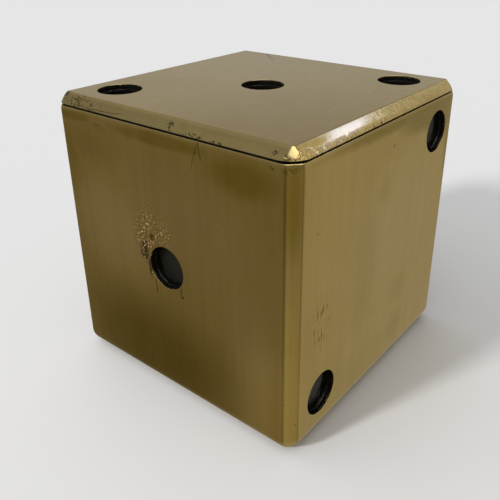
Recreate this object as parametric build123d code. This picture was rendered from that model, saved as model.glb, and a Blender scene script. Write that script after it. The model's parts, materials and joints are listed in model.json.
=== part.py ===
"""A die-shaped ice bucket: a brass cube with recessed black pips, a lift-off lid and a lift-out liner.

The origin is at the centre of the footprint, on the surface that the feet stand on. +Z is up. The
face with one pip looks along -Y and the face with two pips along +X. Lengths are in millimetres.
"""

from build123d import *
import math
import os

# Brass cube
FOOT_HEIGHT = 1.2            # the cube stands this far above the surface
CUBE_SIDE = 180.0            # overall side of the die
SHEET = 1.0                  # brass sheet
EDGE_CUT = 6.7               # 45-degree facet on the upright edges and round the base
BASE_CORNER_CUT = 2.5        # what is left of that facet at the underside
LID_DEPTH = 6.2              # the lid's brass is only as deep as its bevel
LID_INSET = 6.0              # how far the bevel leans in
LID_RIM_RADIUS = 12.0        # corner radius at the lid's rim, in plan
LID_CROWN_RADIUS = 1.2       # corner radius at the lid's top, in plan
SEAM_GAP = 0.8               # gap between the rims of lid and body

# Pips
PIP_OFFSET = 61.6            # from the face's centre, along both of its directions
PIP_RADIUS = 13.35           # hole in the brass
PIP_DEPTH = 7.0              # outer face to the cup's floor
CUP_BORE_RADIUS = 13.1
CUP_WALL = 1.2
CUP_FLOOR = 1.0
CUP_FLANGE_RADIUS = 16.5
CUP_FLANGE = 1.0

# Rim collar, liner and insulation
COLLAR_THICKNESS = 1.9
COLLAR_GLUE_GAP = 0.1
COLLAR_OPENING_HALF = 75.6
COLLAR_OPENING_RADIUS = 16.0
COLLAR_REBATE_HALF = 79.3
COLLAR_REBATE_RADIUS = 18.0
LINER_HALF = 74.0
LINER_CORNER_RADIUS = 14.5
LINER_WALL = 1.8
LINER_FLOOR = 2.0
LINER_FLANGE = 1.0
LINER_FLANGE_GAP = 0.3
LINER_FLOOR_FILLET = 5.0
LINER_STANDOFF = 0.5         # between the liner's floor and the foam under it
FOAM_THICKNESS = 5.2
FOAM_CLEARANCE = 0.3
SIDE_FOAM_HALF_WIDTH = 77.0
BASE_FOAM_RADIUS = 6.0

# Lid inside
PLATE_THICKNESS = 1.5
PLATE_HALF = 87.0
PLATE_CORNER_RADIUS = 10.0
PLUG_HALF = 69.5
PLUG_CORNER_RADIUS = 10.2
PLUG_WALL = 2.0
PLUG_DEPTH = 16.0
GASKET_WIDTH = 2.3
GASKET_HEIGHT = 3.0
GASKET_DROP = 0.2

# Fixings and feet
SCREW_SHANK_RADIUS = 1.45
SCREW_HOLE_RADIUS = 1.5
SCREW_HEAD_RADIUS = 2.8
SCREW_HEAD_HEIGHT = 1.35
SCREW_RECESS_RADIUS = 1.1
SCREW_RECESS_DEPTH = 0.9
COLLAR_SCREW_LENGTH = 8.0
LID_SCREW_LENGTH = 6.5
BOSS_RADIUS = 4.0
BOSS_POSITION = 79.2         # boss axis, along X and along Y
BRACKET_WIDTH = 7.0
BRACKET_REACH = 8.0          # how far it stands in from the upright facet
BRACKET_HEIGHT = 8.0
BRACKET_SCREW_INSET = 4.2    # screw axis, in from the upright facet
FOOT_RADIUS = 5.0
FOOT_POSITION = 76.5

# Derived heights and sizes
HALF = CUBE_SIDE / 2
CUBE_MIDDLE_Z = FOOT_HEIGHT + HALF
CUBE_TOP_Z = FOOT_HEIGHT + CUBE_SIDE
LID_RIM_Z = CUBE_TOP_Z - LID_DEPTH
BODY_RIM_Z = LID_RIM_Z - SEAM_GAP
BASE_RIM_Z = FOOT_HEIGHT + EDGE_CUT
PLATE_TOP_Z = CUBE_TOP_Z - PIP_DEPTH - CUP_FLOOR - FOAM_CLEARANCE
COLLAR_TOP_Z = PLATE_TOP_Z - PLATE_THICKNESS
COLLAR_BOTTOM_Z = COLLAR_TOP_Z - COLLAR_THICKNESS
BASE_FOAM_Z = FOOT_HEIGHT + PIP_DEPTH + CUP_FLOOR + FOAM_CLEARANCE
BASE_FOAM_TOP_Z = BASE_FOAM_Z + FOAM_THICKNESS
LINER_BOTTOM_Z = BASE_FOAM_TOP_Z + LINER_STANDOFF
PLUG_BOTTOM_Z = COLLAR_TOP_Z - PLUG_DEPTH
CUP_REACH = HALF - PIP_DEPTH - CUP_FLOOR
SIDE_FOAM_OUTER = CUP_REACH - 2 * FOAM_CLEARANCE
SIDE_FOAM_INNER = SIDE_FOAM_OUTER - FOAM_THICKNESS
INNER_HALF = HALF - SHEET
INNER_EDGE_CUT = EDGE_CUT - SHEET * (2 - math.sqrt(2))
INNER_FACET_REACH = (2 * INNER_HALF - INNER_EDGE_CUT) / math.sqrt(2)

FACES = {
    "front": Plane(origin=(0, -HALF, CUBE_MIDDLE_Z), x_dir=(1, 0, 0), z_dir=(0, -1, 0)),
    "right": Plane(origin=(HALF, 0, CUBE_MIDDLE_Z), x_dir=(0, 1, 0), z_dir=(1, 0, 0)),
    "back": Plane(origin=(0, HALF, CUBE_MIDDLE_Z), x_dir=(-1, 0, 0), z_dir=(0, 1, 0)),
    "left": Plane(origin=(-HALF, 0, CUBE_MIDDLE_Z), x_dir=(0, -1, 0), z_dir=(-1, 0, 0)),
    "top": Plane(origin=(0, 0, CUBE_TOP_Z), x_dir=(1, 0, 0), z_dir=(0, 0, 1)),
    "bottom": Plane(origin=(0, 0, FOOT_HEIGHT), x_dir=(1, 0, 0), z_dir=(0, 0, -1)),
}

# Opposite faces add up to seven. Each pair counts pip offsets across its face and up it.
DIAGONAL = [(-1, -1), (1, 1)]
CORNERS = DIAGONAL + [(-1, 1), (1, -1)]
PIPS = {
    "front": [(0, 0)],
    "right": DIAGONAL,
    "back": CORNERS + [(-1, 0), (1, 0)],
    "left": CORNERS + [(0, 0)],
    "top": DIAGONAL + [(0, 0)],
    "bottom": CORNERS,
}
BODY_FACES = ["front", "right", "back", "left"]


def faceted_square(half, cut):
    """A square with its corners cut at 45 degrees."""
    points = []
    for x_sign, y_sign in [(1, 1), (-1, 1), (-1, -1), (1, -1)]:
        corner = [(half, half - cut), (half - cut, half)]
        if x_sign != y_sign:
            corner.reverse()
        points += [(x_sign * x, y_sign * y) for x, y in corner]
    return Polygon(*points, align=None)


def rounded_square(half, radius):
    return RectangleRounded(2 * half, 2 * half, radius)


def prism(section, low, high):
    """The section, extruded from one height to another."""
    return extrude(Pos(0, 0, low) * section, high - low)


def between(low_section, low, high_section, high):
    """Straight walls from one section to another."""
    return loft([Pos(0, 0, low) * low_section, Pos(0, 0, high) * high_section], ruled=True)


def cylinder_up(radius, low, high, x=0.0, y=0.0):
    return Pos(x, y, low) * Cylinder(radius, high - low, align=(Align.CENTER, Align.CENTER, Align.MIN))


def pip_place(face, across, up):
    return FACES[face].location * Pos(across * PIP_OFFSET, up * PIP_OFFSET, 0)


def cut_pip_holes(sheet, face):
    """Pip holes through the brass of one face."""
    for across, up in PIPS[face]:
        sheet -= pip_place(face, across, up) * Cylinder(PIP_RADIUS, 4 * SHEET)
    return sheet


def pip_cup():
    """A flanged cup, seen from outside: its flange lies against the back of the sheet."""
    outside = CUP_BORE_RADIUS + CUP_WALL
    cup = cylinder_up(CUP_FLANGE_RADIUS, -SHEET - CUP_FLANGE, -SHEET)
    cup += cylinder_up(outside, -PIP_DEPTH - CUP_FLOOR, -SHEET)
    return cup - cylinder_up(CUP_BORE_RADIUS, -PIP_DEPTH, 0)


def body_shell():
    """The wrapped brass sheet, with facets on its upright edges."""
    shell = prism(faceted_square(HALF, EDGE_CUT), BASE_RIM_Z, BODY_RIM_Z)
    shell -= prism(faceted_square(INNER_HALF, INNER_EDGE_CUT), BASE_RIM_Z, BODY_RIM_Z)
    for face in BODY_FACES:
        shell = cut_pip_holes(shell, face)
    return shell


def base_pan():
    """The bevelled underside, soldered to the shell's lower edge."""
    floor = FOOT_HEIGHT + SHEET
    slant = SHEET * math.sqrt(2)
    outside = between(
        faceted_square(HALF - EDGE_CUT, BASE_CORNER_CUT), FOOT_HEIGHT,
        faceted_square(HALF, EDGE_CUT), BASE_RIM_Z)
    inside = between(
        faceted_square(HALF - EDGE_CUT + SHEET - slant, BASE_CORNER_CUT), floor,
        faceted_square(HALF - slant, EDGE_CUT), BASE_RIM_Z)
    return cut_pip_holes(outside - inside, "bottom")


def lid_shell():
    """The lid's brass: a flat top and four bevels that turn the corners as cones."""
    slant = SHEET * math.sqrt(2)
    outside = between(
        rounded_square(HALF, LID_RIM_RADIUS), LID_RIM_Z,
        rounded_square(HALF - LID_INSET, LID_CROWN_RADIUS), CUBE_TOP_Z)
    lean = LID_INSET / LID_DEPTH
    crown_half = HALF - LID_INSET + SHEET * lean - slant
    inside = between(
        rounded_square(HALF - slant, LID_RIM_RADIUS - slant), LID_RIM_Z,
        rounded_square(crown_half, LID_CROWN_RADIUS), CUBE_TOP_Z - SHEET)
    return cut_pip_holes(outside - inside, "top")


def rim_collar():
    """The frame under the rim, with a rebate for the liner's flange."""
    outline = faceted_square(INNER_HALF - COLLAR_GLUE_GAP, INNER_EDGE_CUT)
    flange_z = COLLAR_TOP_Z - LINER_FLANGE
    collar = prism(outline, COLLAR_BOTTOM_Z, COLLAR_TOP_Z)
    opening = rounded_square(COLLAR_OPENING_HALF, COLLAR_OPENING_RADIUS)
    rebate = rounded_square(COLLAR_REBATE_HALF, COLLAR_REBATE_RADIUS)
    collar -= prism(opening, COLLAR_BOTTOM_Z, flange_z)
    collar -= prism(rebate, flange_z, COLLAR_TOP_Z)
    for x, y in bracket_screw_positions():
        collar -= screw_clearance(x, y, COLLAR_TOP_Z, 1)
    return collar


def bracket_screw_positions():
    reach = (INNER_FACET_REACH - BRACKET_SCREW_INSET) / math.sqrt(2)
    return [(x * reach, y * reach) for x, y in CORNERS]


def boss_positions():
    return [(x * BOSS_POSITION, y * BOSS_POSITION) for x, y in CORNERS]


def screw_body(shank_radius, head_radius, length):
    """A countersunk screw pointing down, with its head flush at z = 0."""
    head = Cone(shank_radius, head_radius, SCREW_HEAD_HEIGHT, align=(Align.CENTER, Align.CENTER, Align.MAX))
    return head + cylinder_up(shank_radius, -length, 0)


def screw_clearance(x, y, head_z, direction):
    """What a screw needs in a plate; direction is 1 for a head at the top and -1 for one below."""
    play = SCREW_HOLE_RADIUS - SCREW_SHANK_RADIUS
    hole = screw_body(SCREW_HOLE_RADIUS, SCREW_HEAD_RADIUS + play, 4 * PLATE_THICKNESS)
    turn = 0 if direction > 0 else 180
    return Pos(x, y, head_z) * Rot(turn, 0, 0) * hole


def screws(positions, head_z, length, direction):
    """One countersunk screw with a driver recess for each position."""
    screw = screw_body(SCREW_SHANK_RADIUS, SCREW_HEAD_RADIUS, length)
    screw -= cylinder_up(SCREW_RECESS_RADIUS, -SCREW_RECESS_DEPTH, 0)
    turn = 0 if direction > 0 else 180
    return Compound([Pos(x, y, head_z) * Rot(turn, 0, 0) * screw.solid() for x, y in positions])


def collar_brackets():
    """Blocks soldered into the upright edges, which take the collar's screws."""
    blocks = []
    for x, y in bracket_screw_positions():
        angle = math.degrees(math.atan2(y, x))
        block = Pos(INNER_FACET_REACH - BRACKET_REACH, 0, COLLAR_BOTTOM_Z) * Box(
            BRACKET_REACH, BRACKET_WIDTH, BRACKET_HEIGHT,
            align=(Align.MIN, Align.CENTER, Align.MAX))
        block = Rot(0, 0, angle) * block
        block -= cylinder_up(SCREW_HOLE_RADIUS, COLLAR_BOTTOM_Z - BRACKET_HEIGHT, COLLAR_BOTTOM_Z, x, y)
        blocks.append(block.solid())
    return Compound(blocks)


def lid_bosses():
    """Blocks soldered under the lid's top, which take the plug's screws."""
    bosses = []
    for x, y in boss_positions():
        boss = cylinder_up(BOSS_RADIUS, PLATE_TOP_Z, CUBE_TOP_Z - SHEET, x, y)
        boss -= cylinder_up(SCREW_HOLE_RADIUS, PLATE_TOP_Z, CUBE_TOP_Z - 2 * SHEET, x, y)
        bosses.append(boss.solid())
    return Compound(bosses)


def lid_plug():
    """The plastic plate under the lid, with the hollow plug that fills the liner's mouth."""
    plug = prism(rounded_square(PLATE_HALF, PLATE_CORNER_RADIUS), COLLAR_TOP_Z, PLATE_TOP_Z)
    plug += prism(rounded_square(PLUG_HALF, PLUG_CORNER_RADIUS), PLUG_BOTTOM_Z, COLLAR_TOP_Z)
    cavity = rounded_square(PLUG_HALF - PLUG_WALL, PLUG_CORNER_RADIUS - PLUG_WALL)
    plug -= prism(cavity, PLUG_BOTTOM_Z + PLUG_WALL, PLATE_TOP_Z)
    for x, y in boss_positions():
        plug -= screw_clearance(x, y, COLLAR_TOP_Z, -1)
    return plug


def lid_core_foam():
    """The block in the plug's hollow."""
    half = PLUG_HALF - PLUG_WALL - FOAM_CLEARANCE
    radius = PLUG_CORNER_RADIUS - PLUG_WALL
    return prism(rounded_square(half, radius), PLUG_BOTTOM_Z + PLUG_WALL, PLATE_TOP_Z)


def lid_sheet_foam():
    """The sheet between the plate and the brass, cut out round the cups and the bosses."""
    half = HALF - LID_INSET - 2 * SHEET
    low = PLATE_TOP_Z
    high = CUBE_TOP_Z - SHEET - FOAM_CLEARANCE
    foam = prism(rounded_square(half, LID_CROWN_RADIUS), low, high)
    for across, up in PIPS["top"]:
        hole_radius = CUP_FLANGE_RADIUS + FOAM_CLEARANCE
        foam -= cylinder_up(hole_radius, low, high, across * PIP_OFFSET, up * PIP_OFFSET)
    for x, y in boss_positions():
        foam -= cylinder_up(BOSS_RADIUS + FOAM_CLEARANCE, low, high, x, y)
    return foam


def lid_gasket():
    """The soft ring round the plug, just under its plate."""
    high = COLLAR_TOP_Z - GASKET_DROP
    low = high - GASKET_HEIGHT
    ring = rounded_square(PLUG_HALF + GASKET_WIDTH, PLUG_CORNER_RADIUS + GASKET_WIDTH)
    ring -= rounded_square(PLUG_HALF, PLUG_CORNER_RADIUS)
    return prism(ring, low, high)


def ice_liner():
    """The square tub that holds the ice, hung by its flange."""
    flange_half = COLLAR_REBATE_HALF - LINER_FLANGE_GAP
    inner_half = LINER_HALF - LINER_WALL
    inner_radius = LINER_CORNER_RADIUS - LINER_WALL
    tub = prism(rounded_square(LINER_HALF, LINER_CORNER_RADIUS), LINER_BOTTOM_Z, COLLAR_TOP_Z)
    flange = rounded_square(flange_half, COLLAR_REBATE_RADIUS - LINER_FLANGE_GAP)
    tub += prism(flange, COLLAR_TOP_Z - LINER_FLANGE, COLLAR_TOP_Z)
    hollow = prism(rounded_square(inner_half, inner_radius), LINER_BOTTOM_Z + LINER_FLOOR, COLLAR_TOP_Z)
    floor_edges = hollow.edges().group_by(Axis.Z)[0]
    return tub - fillet(floor_edges, LINER_FLOOR_FILLET)


def side_foam(face):
    """One insulation panel, behind the pip cups of its face."""
    half_width = SIDE_FOAM_HALF_WIDTH if face in ("front", "back") else SIDE_FOAM_INNER - FOAM_CLEARANCE
    low = BASE_FOAM_TOP_Z
    high = COLLAR_BOTTOM_Z - FOAM_CLEARANCE
    panel = Box(2 * half_width, high - low, FOAM_THICKNESS)
    depth = HALF - (SIDE_FOAM_OUTER + SIDE_FOAM_INNER) / 2
    return FACES[face].location * Pos(0, (low + high) / 2 - CUBE_MIDDLE_Z, -depth) * panel


def base_foam():
    return prism(rounded_square(SIDE_FOAM_OUTER, BASE_FOAM_RADIUS), BASE_FOAM_Z, BASE_FOAM_TOP_Z)


def save(shape, node):
    shape.label = node
    export_step(shape, f"parts/{node}.step")


def main():
    os.makedirs("parts", exist_ok=True)
    save(body_shell(), "body_shell")
    save(base_pan(), "base_pan")
    save(lid_shell(), "lid_shell")
    cup = pip_cup()
    for face, pips in PIPS.items():
        for number, (across, up) in enumerate(pips, start=1):
            save(pip_place(face, across, up) * cup, f"{face}_pip_cup_{number}")
    save(rim_collar(), "rim_collar")
    save(collar_brackets(), "collar_brackets")
    save(screws(bracket_screw_positions(), COLLAR_TOP_Z, COLLAR_SCREW_LENGTH, 1), "collar_screws")
    for face in BODY_FACES:
        save(side_foam(face), f"{face}_foam_panel")
    save(base_foam(), "base_foam_panel")
    save(ice_liner(), "ice_liner")
    save(lid_plug(), "lid_plug")
    save(lid_core_foam(), "lid_core_foam")
    save(lid_sheet_foam(), "lid_sheet_foam")
    save(lid_bosses(), "lid_bosses")
    save(screws(boss_positions(), COLLAR_TOP_Z, LID_SCREW_LENGTH, -1), "lid_screws")
    save(lid_gasket(), "lid_gasket")
    for number, (x, y) in enumerate(CORNERS, start=1):
        foot = cylinder_up(FOOT_RADIUS, 0, FOOT_HEIGHT, x * FOOT_POSITION, y * FOOT_POSITION)
        save(foot, f"foot_pad_{number}")


main()
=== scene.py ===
"""A die-shaped brass ice bucket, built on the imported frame: brass, pips, feet and finishes."""

import json
import math

import bmesh
import bpy
from mathutils import Matrix, Vector


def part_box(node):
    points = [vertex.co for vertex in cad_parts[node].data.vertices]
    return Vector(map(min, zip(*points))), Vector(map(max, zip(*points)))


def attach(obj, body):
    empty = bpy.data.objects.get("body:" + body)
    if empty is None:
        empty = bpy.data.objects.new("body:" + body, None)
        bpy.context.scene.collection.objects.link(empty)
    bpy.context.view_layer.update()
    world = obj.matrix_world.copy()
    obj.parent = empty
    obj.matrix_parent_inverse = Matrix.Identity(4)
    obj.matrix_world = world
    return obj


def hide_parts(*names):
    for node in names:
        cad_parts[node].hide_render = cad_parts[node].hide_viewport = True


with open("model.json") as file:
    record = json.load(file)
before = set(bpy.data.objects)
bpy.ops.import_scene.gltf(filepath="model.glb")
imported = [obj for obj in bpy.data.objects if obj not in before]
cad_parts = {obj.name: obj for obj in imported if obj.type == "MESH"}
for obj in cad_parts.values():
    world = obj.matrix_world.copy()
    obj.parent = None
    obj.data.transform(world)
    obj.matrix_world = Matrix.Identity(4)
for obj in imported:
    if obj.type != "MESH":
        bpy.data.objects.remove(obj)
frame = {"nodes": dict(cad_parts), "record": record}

bl_info = {
    "name": "Die ice bucket",
    "version": (1, 0, 0),
    "blender": (4, 5, 0),
    "location": "3D View > Sidebar > Die bucket",
    "description": "Builds a brass die-shaped ice bucket with recessed pips and a lift-off lid",
    "category": "Object",
}

MM = 0.001

# Places that come from the frame
SHELL_HIGH = Vector(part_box("body_shell")[1])
LID_LOW, LID_HIGH = (Vector(corner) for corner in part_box("lid_shell"))
PAN_LOW, PAN_HIGH = (Vector(corner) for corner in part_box("base_pan"))
HALF = SHELL_HIGH.x
BASE_Z = PAN_LOW.z
TOP_Z = LID_HIGH.z
MIDDLE_Z = (BASE_Z + TOP_Z) / 2
SEAM_Z = LID_LOW.z
RIM_Z = SHELL_HIGH.z
UP = Vector((0, 0, 1))
PAN_STEP = 2.2 * MM  # from the foot of the side walls down to the seam of the underside
CUP_NODES = sorted(name for name in frame["nodes"] if "pip_cup" in name)
FOOT_NODES = sorted(name for name in frame["nodes"] if name.startswith("foot_pad"))


# ---------------------------------------------------------------- settings

def length_setting(name, description, default):
    return bpy.props.FloatProperty(
        name=name, description=description, default=default, unit="LENGTH", precision=5)


def colour_setting(name, description, default):
    return bpy.props.FloatVectorProperty(
        name=name, description=description, default=default,
        subtype="COLOR", size=4, min=0, max=1)


class DieSizes(bpy.types.PropertyGroup):
    """Sizes that shape the brass and the pips."""

    sheet: length_setting(
        "Sheet", "Thickness of the brass sheet", 1.0 * MM)
    edge_cut: length_setting(
        "Edge cut", "Width that the upright facets take off each face", PAN_HIGH.z - PAN_LOW.z)
    base_corner_cut: length_setting(
        "Base corner cut", "Width that is taken off under each facet", 2.2 * MM)
    base_bevel: length_setting(
        "Base bevel", "How far the base leans in", 5.4 * MM)
    upright_rounding: length_setting(
        "Upright rounding", "Rounding where a face turns into a facet", 1.5 * MM)
    base_rounding: length_setting(
        "Base rounding", "Rounding where a face turns under", 3.2 * MM)
    rim_band: length_setting(
        "Rim band", "Height over which the body's rim is drawn in", 3.6 * MM)
    rim_draw: length_setting(
        "Rim draw", "How far the body's rim is drawn in", 0.55 * MM)
    lid_inset: length_setting(
        "Lid inset", "How far the lid's bevel leans in", 6.0 * MM)
    lid_rim_radius: length_setting(
        "Lid rim radius", "Corner radius at the lid's rim, in plan", 12.0 * MM)
    lid_crown_radius: length_setting(
        "Lid crown radius", "Corner radius at the lid's top, in plan", 1.2 * MM)
    lid_swell: length_setting(
        "Lid swell", "How far the lid's bevel bulges", 0.3 * MM)
    pip_radius: length_setting(
        "Pip radius", "Radius of the hole in the brass", 13.35 * MM)
    pip_depth: length_setting(
        "Pip depth", "From the brass face to the cup's floor", 7.0 * MM)


class DieFinish(bpy.types.PropertyGroup):
    """Colours of the finishes."""

    gold: colour_setting(
        "Gold", "Brass under sound lacquer", (0.76, 0.60, 0.23, 1))
    pale: colour_setting(
        "Pale", "Brass under cloudy lacquer", (0.84, 0.69, 0.38, 1))
    olive: colour_setting(
        "Olive", "Brass where the lacquer has browned", (0.54, 0.405, 0.066, 1))
    pink: colour_setting(
        "Pink", "Dezinced brass under broken lacquer", (0.66, 0.49, 0.22, 1))
    pip_black: colour_setting(
        "Pip black", "Wall of the pip cups", (0.004, 0.004, 0.003, 1))
    pip_floor: colour_setting(
        "Pip floor", "Floor of the pip cups", (0.0085, 0.009, 0.0062, 1))


# ---------------------------------------------------------------- modelling helpers

def deselect_all():
    if bpy.context.object and bpy.context.object.mode != "OBJECT":
        bpy.ops.object.mode_set(mode="OBJECT")
    bpy.ops.object.select_all(action="DESELECT")


def make_active(piece):
    deselect_all()
    piece.select_set(True)
    bpy.context.view_layer.objects.active = piece


def settle(piece):
    """Put the piece's place into its mesh and leave its object at the origin."""
    make_active(piece)
    bpy.ops.object.transform_apply(location=True, rotation=True, scale=True)


def take_new(name):
    """Name and settle the object that was just added."""
    piece = bpy.context.object
    piece.name = piece.data.name = name
    settle(piece)
    return piece


def add_box(name, low, high):
    deselect_all()
    size = high - low
    bpy.ops.mesh.primitive_cube_add(size=1, location=(low + high) / 2, scale=size)
    return take_new(name)


def add_cylinder(name, radius, low, high, sides):
    deselect_all()
    bpy.ops.mesh.primitive_cylinder_add(
        vertices=sides, radius=radius, depth=high - low, location=(0, 0, (low + high) / 2))
    return take_new(name)


def extrude_rings(name, start, rings, sides):
    """A closed turned piece: a disc, extruded through rings of a radius and a height."""
    deselect_all()
    radius, height = start
    bpy.ops.mesh.primitive_circle_add(
        vertices=sides, radius=radius, fill_type="NGON", location=(0, 0, height))
    piece = take_new(name)
    with Editing(piece) as edit:
        edit.pick(lambda edge: len(edge.link_faces) == 1)
        for next_radius, next_height in rings:
            step = {"value": (0, 0, next_height - height)}
            bpy.ops.mesh.extrude_edges_move(TRANSFORM_OT_translate=step)
            grow = next_radius / radius
            resize_at(next_height, grow, grow)
            radius, height = next_radius, next_height
        bpy.ops.mesh.edge_face_add()
        bpy.ops.mesh.select_all(action="SELECT")
        bpy.ops.mesh.normals_make_consistent(inside=False)
    return piece


class Editing:
    """Edit mode on one piece, with nothing selected at the start."""

    def __init__(self, piece, kind="EDGE"):
        self.piece = piece
        self.kind = kind

    def __enter__(self):
        make_active(self.piece)
        bpy.ops.object.mode_set(mode="EDIT")
        bpy.ops.mesh.select_mode(type=self.kind)
        bpy.ops.mesh.select_all(action="DESELECT")
        return self

    def __exit__(self, *problem):
        bpy.ops.object.mode_set(mode="OBJECT")

    def pick(self, test):
        """Select exactly the vertices, edges or faces that pass the test."""
        bpy.ops.mesh.select_all(action="DESELECT")
        mesh = bmesh.from_edit_mesh(self.piece.data)
        parts = {"VERT": mesh.verts, "EDGE": mesh.edges, "FACE": mesh.faces}[self.kind]
        for part in parts:
            if test(part):
                part.select_set(True)
        bmesh.update_edit_mesh(self.piece.data)

    def switch(self, kind):
        self.kind = kind
        bpy.ops.mesh.select_mode(type=kind)


def resize_at(height, x, y, z=1):
    """Scale what is selected about the upright axis at this height."""
    bpy.ops.transform.resize(value=(x, y, z), center_override=(0, 0, height))


def edge_middle(edge):
    return (edge.verts[0].co + edge.verts[1].co) / 2


def is_upright(edge):
    return abs((edge.verts[1].co - edge.verts[0].co).normalized().z) > 0.99


def turn_angle(edge):
    """Angle in degrees between an edge's two faces."""
    if len(edge.link_faces) != 2:
        return 0.0
    return math.degrees(edge.calc_face_angle(0.0))


def apply_modifier(piece, kind, **settings):
    make_active(piece)
    modifier = piece.modifiers.new(kind.title(), kind)
    for name, value in settings.items():
        setattr(modifier, name, value)
    bpy.ops.object.modifier_apply(modifier=modifier.name)


def smooth(piece, angle=35.0):
    """Smooth shading that keeps flat faces flat."""
    make_active(piece)
    bpy.ops.object.shade_smooth_by_angle(angle=math.radians(angle))
    apply_modifier(piece, "WEIGHTED_NORMAL", keep_sharp=True, weight=100)


def face_turn(face):
    """Rotation that turns +Z into the outward direction of one face of the die."""
    turns = {
        "top": Matrix.Identity(3),
        "bottom": Matrix.Rotation(math.pi, 3, "X"),
        "front": Matrix.Rotation(math.pi / 2, 3, "X"),
        "back": Matrix.Rotation(-math.pi / 2, 3, "X"),
        "right": Matrix.Rotation(math.pi / 2, 3, "Y"),
        "left": Matrix.Rotation(-math.pi / 2, 3, "Y"),
    }
    return turns[face]


FACE_CENTRES = {
    "top": Vector((0, 0, TOP_Z)),
    "bottom": Vector((0, 0, BASE_Z)),
    "front": Vector((0, -HALF, MIDDLE_Z)),
    "back": Vector((0, HALF, MIDDLE_Z)),
    "right": Vector((HALF, 0, MIDDLE_Z)),
    "left": Vector((-HALF, 0, MIDDLE_Z)),
}


def pip_places(faces):
    """Face, node and centre (on the brass face) of each pip cup."""
    places = []
    for node in CUP_NODES:
        face = node.split("_")[0]
        if face not in faces:
            continue
        low, high = (Vector(corner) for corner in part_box(node))
        outward = face_turn(face) @ UP
        centre = (low + high) / 2
        centre -= outward * (centre - FACE_CENTRES[face]).dot(outward)
        places.append((face, node, centre))
    return places


def place_on_face(piece, face, centre, spin=0.0):
    turn = face_turn(face).to_4x4() @ Matrix.Rotation(spin, 4, "Z")
    piece.matrix_world = Matrix.Translation(centre) @ turn
    settle(piece)


def cut_pips(piece, faces, sizes):
    """Drill the pip holes, then round their outer edges."""
    drills = []
    for face, node, centre in pip_places(faces):
        drill = add_cylinder("drill_" + node, sizes.pip_radius, -4 * MM, 4 * MM, 96)
        place_on_face(drill, face, centre)
        drills.append(drill)
    deselect_all()
    for drill in drills:
        drill.select_set(True)
    bpy.context.view_layer.objects.active = drills[0]
    if len(drills) > 1:
        bpy.ops.object.join()
    drill = bpy.context.object
    apply_modifier(piece, "BOOLEAN", operation="DIFFERENCE", solver="EXACT", object=drill)
    bpy.data.objects.remove(drill)
    holes = [(face_turn(face) @ UP, centre) for face, _, centre in pip_places(faces)]

    def on_hole_edge(edge):
        for outward, centre in holes:
            offsets = [vert.co - centre for vert in edge.verts]
            if all(abs(offset.dot(outward)) < 0.05 * MM
                   and abs(offset.length - sizes.pip_radius) < 0.05 * MM for offset in offsets):
                return True
        return False

    with Editing(piece) as edit:
        edit.pick(on_hole_edge)
        bpy.ops.mesh.bevel(offset=0.3 * MM, segments=3, affect="EDGES")
    return holes


def paint_hole_walls(piece, holes, sizes):
    """Give the faces inside the holes the piece's second material."""
    def in_hole(face):
        centre_of_face = face.calc_center_median()
        for outward, centre in holes:
            offset = centre_of_face - centre
            depth = offset.dot(outward)
            radius = (offset - outward * depth).length
            inside = abs(radius - sizes.pip_radius) < 0.2 * MM and -1.5 * MM < depth < -0.2 * MM
            if inside and abs(face.normal.dot(outward)) < 0.95:
                return True
        return False

    with Editing(piece, "FACE") as edit:
        edit.pick(in_hole)
        piece.active_material_index = 1
        bpy.ops.object.material_slot_assign()


# ---------------------------------------------------------------- node helpers

class Value:
    """A number or a colour in a node tree. Arithmetic on a number adds Math nodes."""

    def __init__(self, nodes, socket):
        self.nodes = nodes
        self.socket = socket

    def math(self, operation, *values):
        return self.nodes.node("ShaderNodeMath", {"operation": operation}, dict(enumerate(values)))

    def __add__(self, other):
        return self.math("ADD", self, other)

    def __radd__(self, other):
        return self.math("ADD", other, self)

    def __sub__(self, other):
        return self.math("SUBTRACT", self, other)

    def __rsub__(self, other):
        return self.math("SUBTRACT", other, self)

    def __mul__(self, other):
        return self.math("MULTIPLY", self, other)

    def __rmul__(self, other):
        return self.math("MULTIPLY", other, self)

    def __truediv__(self, other):
        return self.math("DIVIDE", self, other)

    def __abs__(self):
        return self.math("ABSOLUTE", self)

    def at_least(self, other):
        return self.math("MAXIMUM", self, other)

    def at_most(self, other):
        return self.math("MINIMUM", self, other)

    def rise(self, start, end, low=0.0, high=1.0):
        """Go smoothly from low to high as the value goes from start to end."""
        settings = {"interpolation_type": "SMOOTHSTEP"}
        links = {"Value": self, "From Min": start, "From Max": end, "To Min": low, "To Max": high}
        return self.nodes.node("ShaderNodeMapRange", settings, links)

    def swing(self, amount):
        """A pattern that runs from 0 to 1, made to swing this much about nothing."""
        return (self - 0.5) * amount

    def line(self, outer, inner):
        """One along the line where the value is nothing, none where it is past the outer width."""
        return abs(self).rise(outer, inner)


class Nodes:
    """A node tree while it is being made."""

    def __init__(self, tree):
        self.tree = tree

    def node(self, kind, settings=None, links=None, output=0):
        """Add a node, set it up, then give its sockets their values or links."""
        node = self.tree.nodes.new(kind)
        for name, value in (settings or {}).items():
            setattr(node, name, value)
        for name, value in (links or {}).items():
            self.connect(value, node.inputs[name])
        return Value(self, node.outputs[output])

    def connect(self, value, socket):
        if isinstance(value, Value):
            self.tree.links.new(value.socket, socket)
        else:
            socket.default_value = value

    def blend(self, amount, first, second):
        """Mix two colours."""
        links = {"Factor": amount, 6: first, 7: second}
        return self.node("ShaderNodeMix", {"data_type": "RGBA"}, links, output=2)

    def vector_math(self, operation, links, output=0):
        return self.node("ShaderNodeVectorMath", {"operation": operation}, links, output)


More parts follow.
